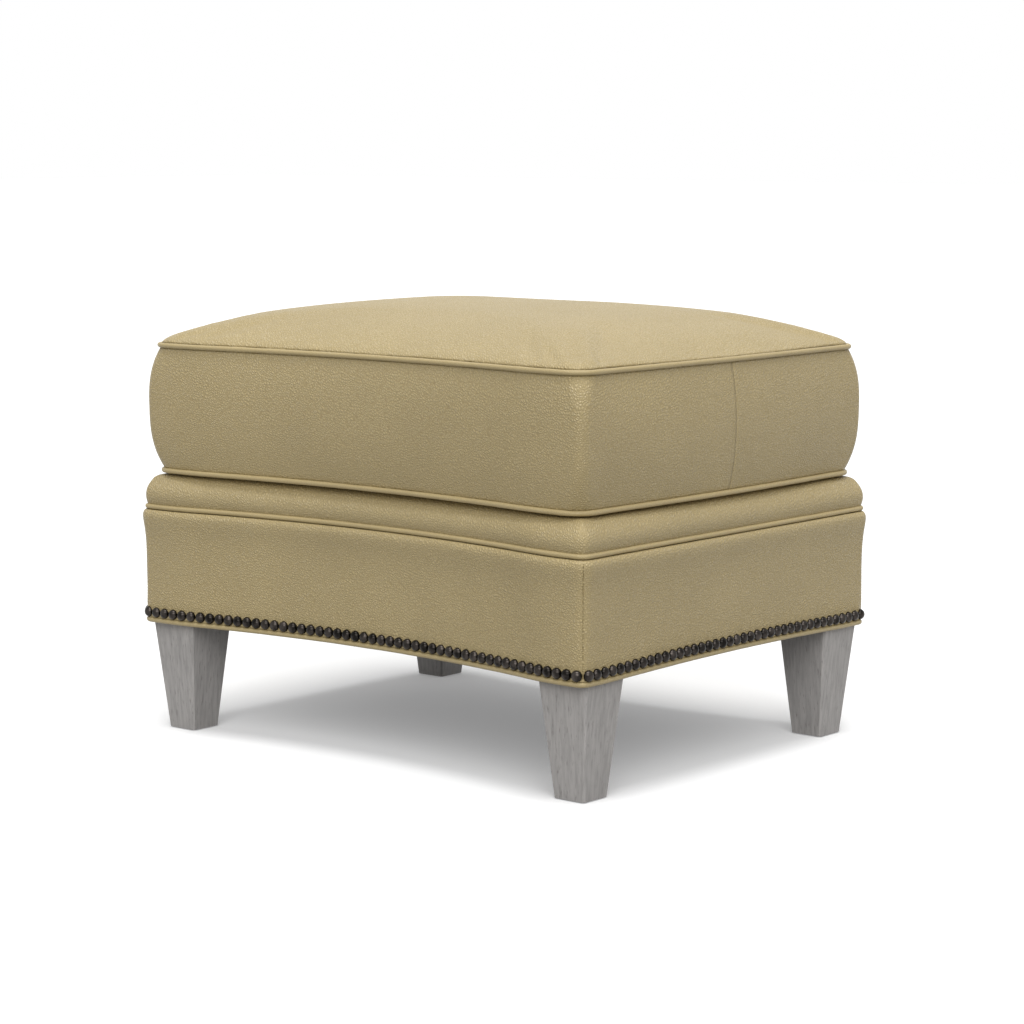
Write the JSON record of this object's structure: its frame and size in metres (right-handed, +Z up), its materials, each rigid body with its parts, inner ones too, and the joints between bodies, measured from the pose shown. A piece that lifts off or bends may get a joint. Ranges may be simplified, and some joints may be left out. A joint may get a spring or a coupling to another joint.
{
  "type": "upholstered footstool",
  "caption": "Rectangular leather footstool with scooped long sides, a loose boxed and welted cushion, nail trim and four tapered wooden legs.",
  "frame": {"origin": "on the floor, under the middle of the stool", "axes": "+Z up; -Y looks out of one long scooped face (the front), +X out of a straight side"},
  "size_m": [0.6576, 0.5266, 0.4954],
  "materials": {
    "grey_wood": "weathered grey open grain, satin",
    "frame_wood": "sawn hardwood, unfinished",
    "leather": "pebbled, semi-matt, khaki",
    "cushion_leather": "pebbled, semi-matt, khaki",
    "leather_welt": "smooth over cord, khaki",
    "nail_metal": "dark gunmetal, polished domes",
    "nylon": "moulded, matt",
    "plated_steel": "zinc plated",
    "spring_steel": "oiled spring wire",
    "burlap": "coarse plain weave",
    "cotton_pad": "felted cotton",
    "deck_cloth": "plain twill",
    "polyester_wrap": "lofted fibre",
    "foam": "open cell foam",
    "black_cambric": "non-woven, matt",
    "zip_tape": "woven tape",
    "zip_nylon": "moulded coil teeth",
    "zip_metal": "antique nickel"
  },
  "bodies": {
    "base": {"back_rail": "frame_wood", "block_screws": "plated_steel", "bottom_welt": "leather_welt", "burlap": "burlap", "clip_nails": "plated_steel", "corner_block_back_left": "frame_wood", "corner_block_back_right": "frame_wood", "corner_block_front_left": "frame_wood", "corner_block_front_right": "frame_wood", "deck_cover": "deck_cloth", "deck_pad": "cotton_pad", "dust_cover": "black_cambric", "dust_cover_staples": "plated_steel", "edge_roll_back": "foam", "edge_roll_front": "foam", "edge_roll_left": "foam", "edge_roll_right": "foam", "foot_glides": "nylon", "front_rail": "frame_wood", "hanger_bolts": "plated_steel", "left_rail": "frame_wood", "leg_back_left": "grey_wood", "leg_back_right": "grey_wood", "leg_front_left": "grey_wood", "leg_front_right": "grey_wood", "mid_welt": "leather_welt", "nails_back": "nail_metal", "nails_front": "nail_metal", "nails_left": "nail_metal", "nails_right": "nail_metal", "right_rail": "frame_wood", "roll_cover": "leather", "sinuous_springs": "spring_steel", "skirt_back": "leather", "skirt_front": "leather", "skirt_left": "leather", "skirt_padding": "polyester_wrap", "skirt_right": "leather", "spring_clips": "plated_steel", "tee_nuts": "plated_steel"},
    "cushion": {"cushion_bottom_panel": "cushion_leather", "cushion_bottom_welt": "leather_welt", "cushion_boxing": "cushion_leather", "cushion_crown_pad": "polyester_wrap", "cushion_foam": "foam", "cushion_foot_pad": "polyester_wrap", "cushion_side_wrap_back": "polyester_wrap", "cushion_side_wrap_front": "polyester_wrap", "cushion_top_panel": "cushion_leather", "cushion_top_welt": "leather_welt", "zip_boxing": "cushion_leather", "zip_stops": "zip_metal", "zip_tapes": "zip_tape", "zip_teeth": "zip_nylon"},
    "zip_slider": {"zip_slider": "zip_metal"},
    "zip_pull": {"zip_pull": "zip_metal"}
  },
  "joints": [
    {"name": "cushion_lift", "type": "slide", "parent": "base", "child": "cushion", "axis": [0, 0, 1], "range_m": [0, 0.15]},
    {"name": "zip_slide", "type": "hinge", "parent": "cushion", "child": "zip_slider", "pos_m": [0, 1.6215, 0.3745], "axis": [0, 0, -1], "range_deg": [0, 15.06]},
    {"name": "zip_pull_swing", "type": "hinge", "parent": "zip_slider", "child": "zip_pull", "pos_m": [0.18139, 0.24913, 0.3745], "axis": [0, 0, -1], "range_deg": [0, 175]}
  ]
}
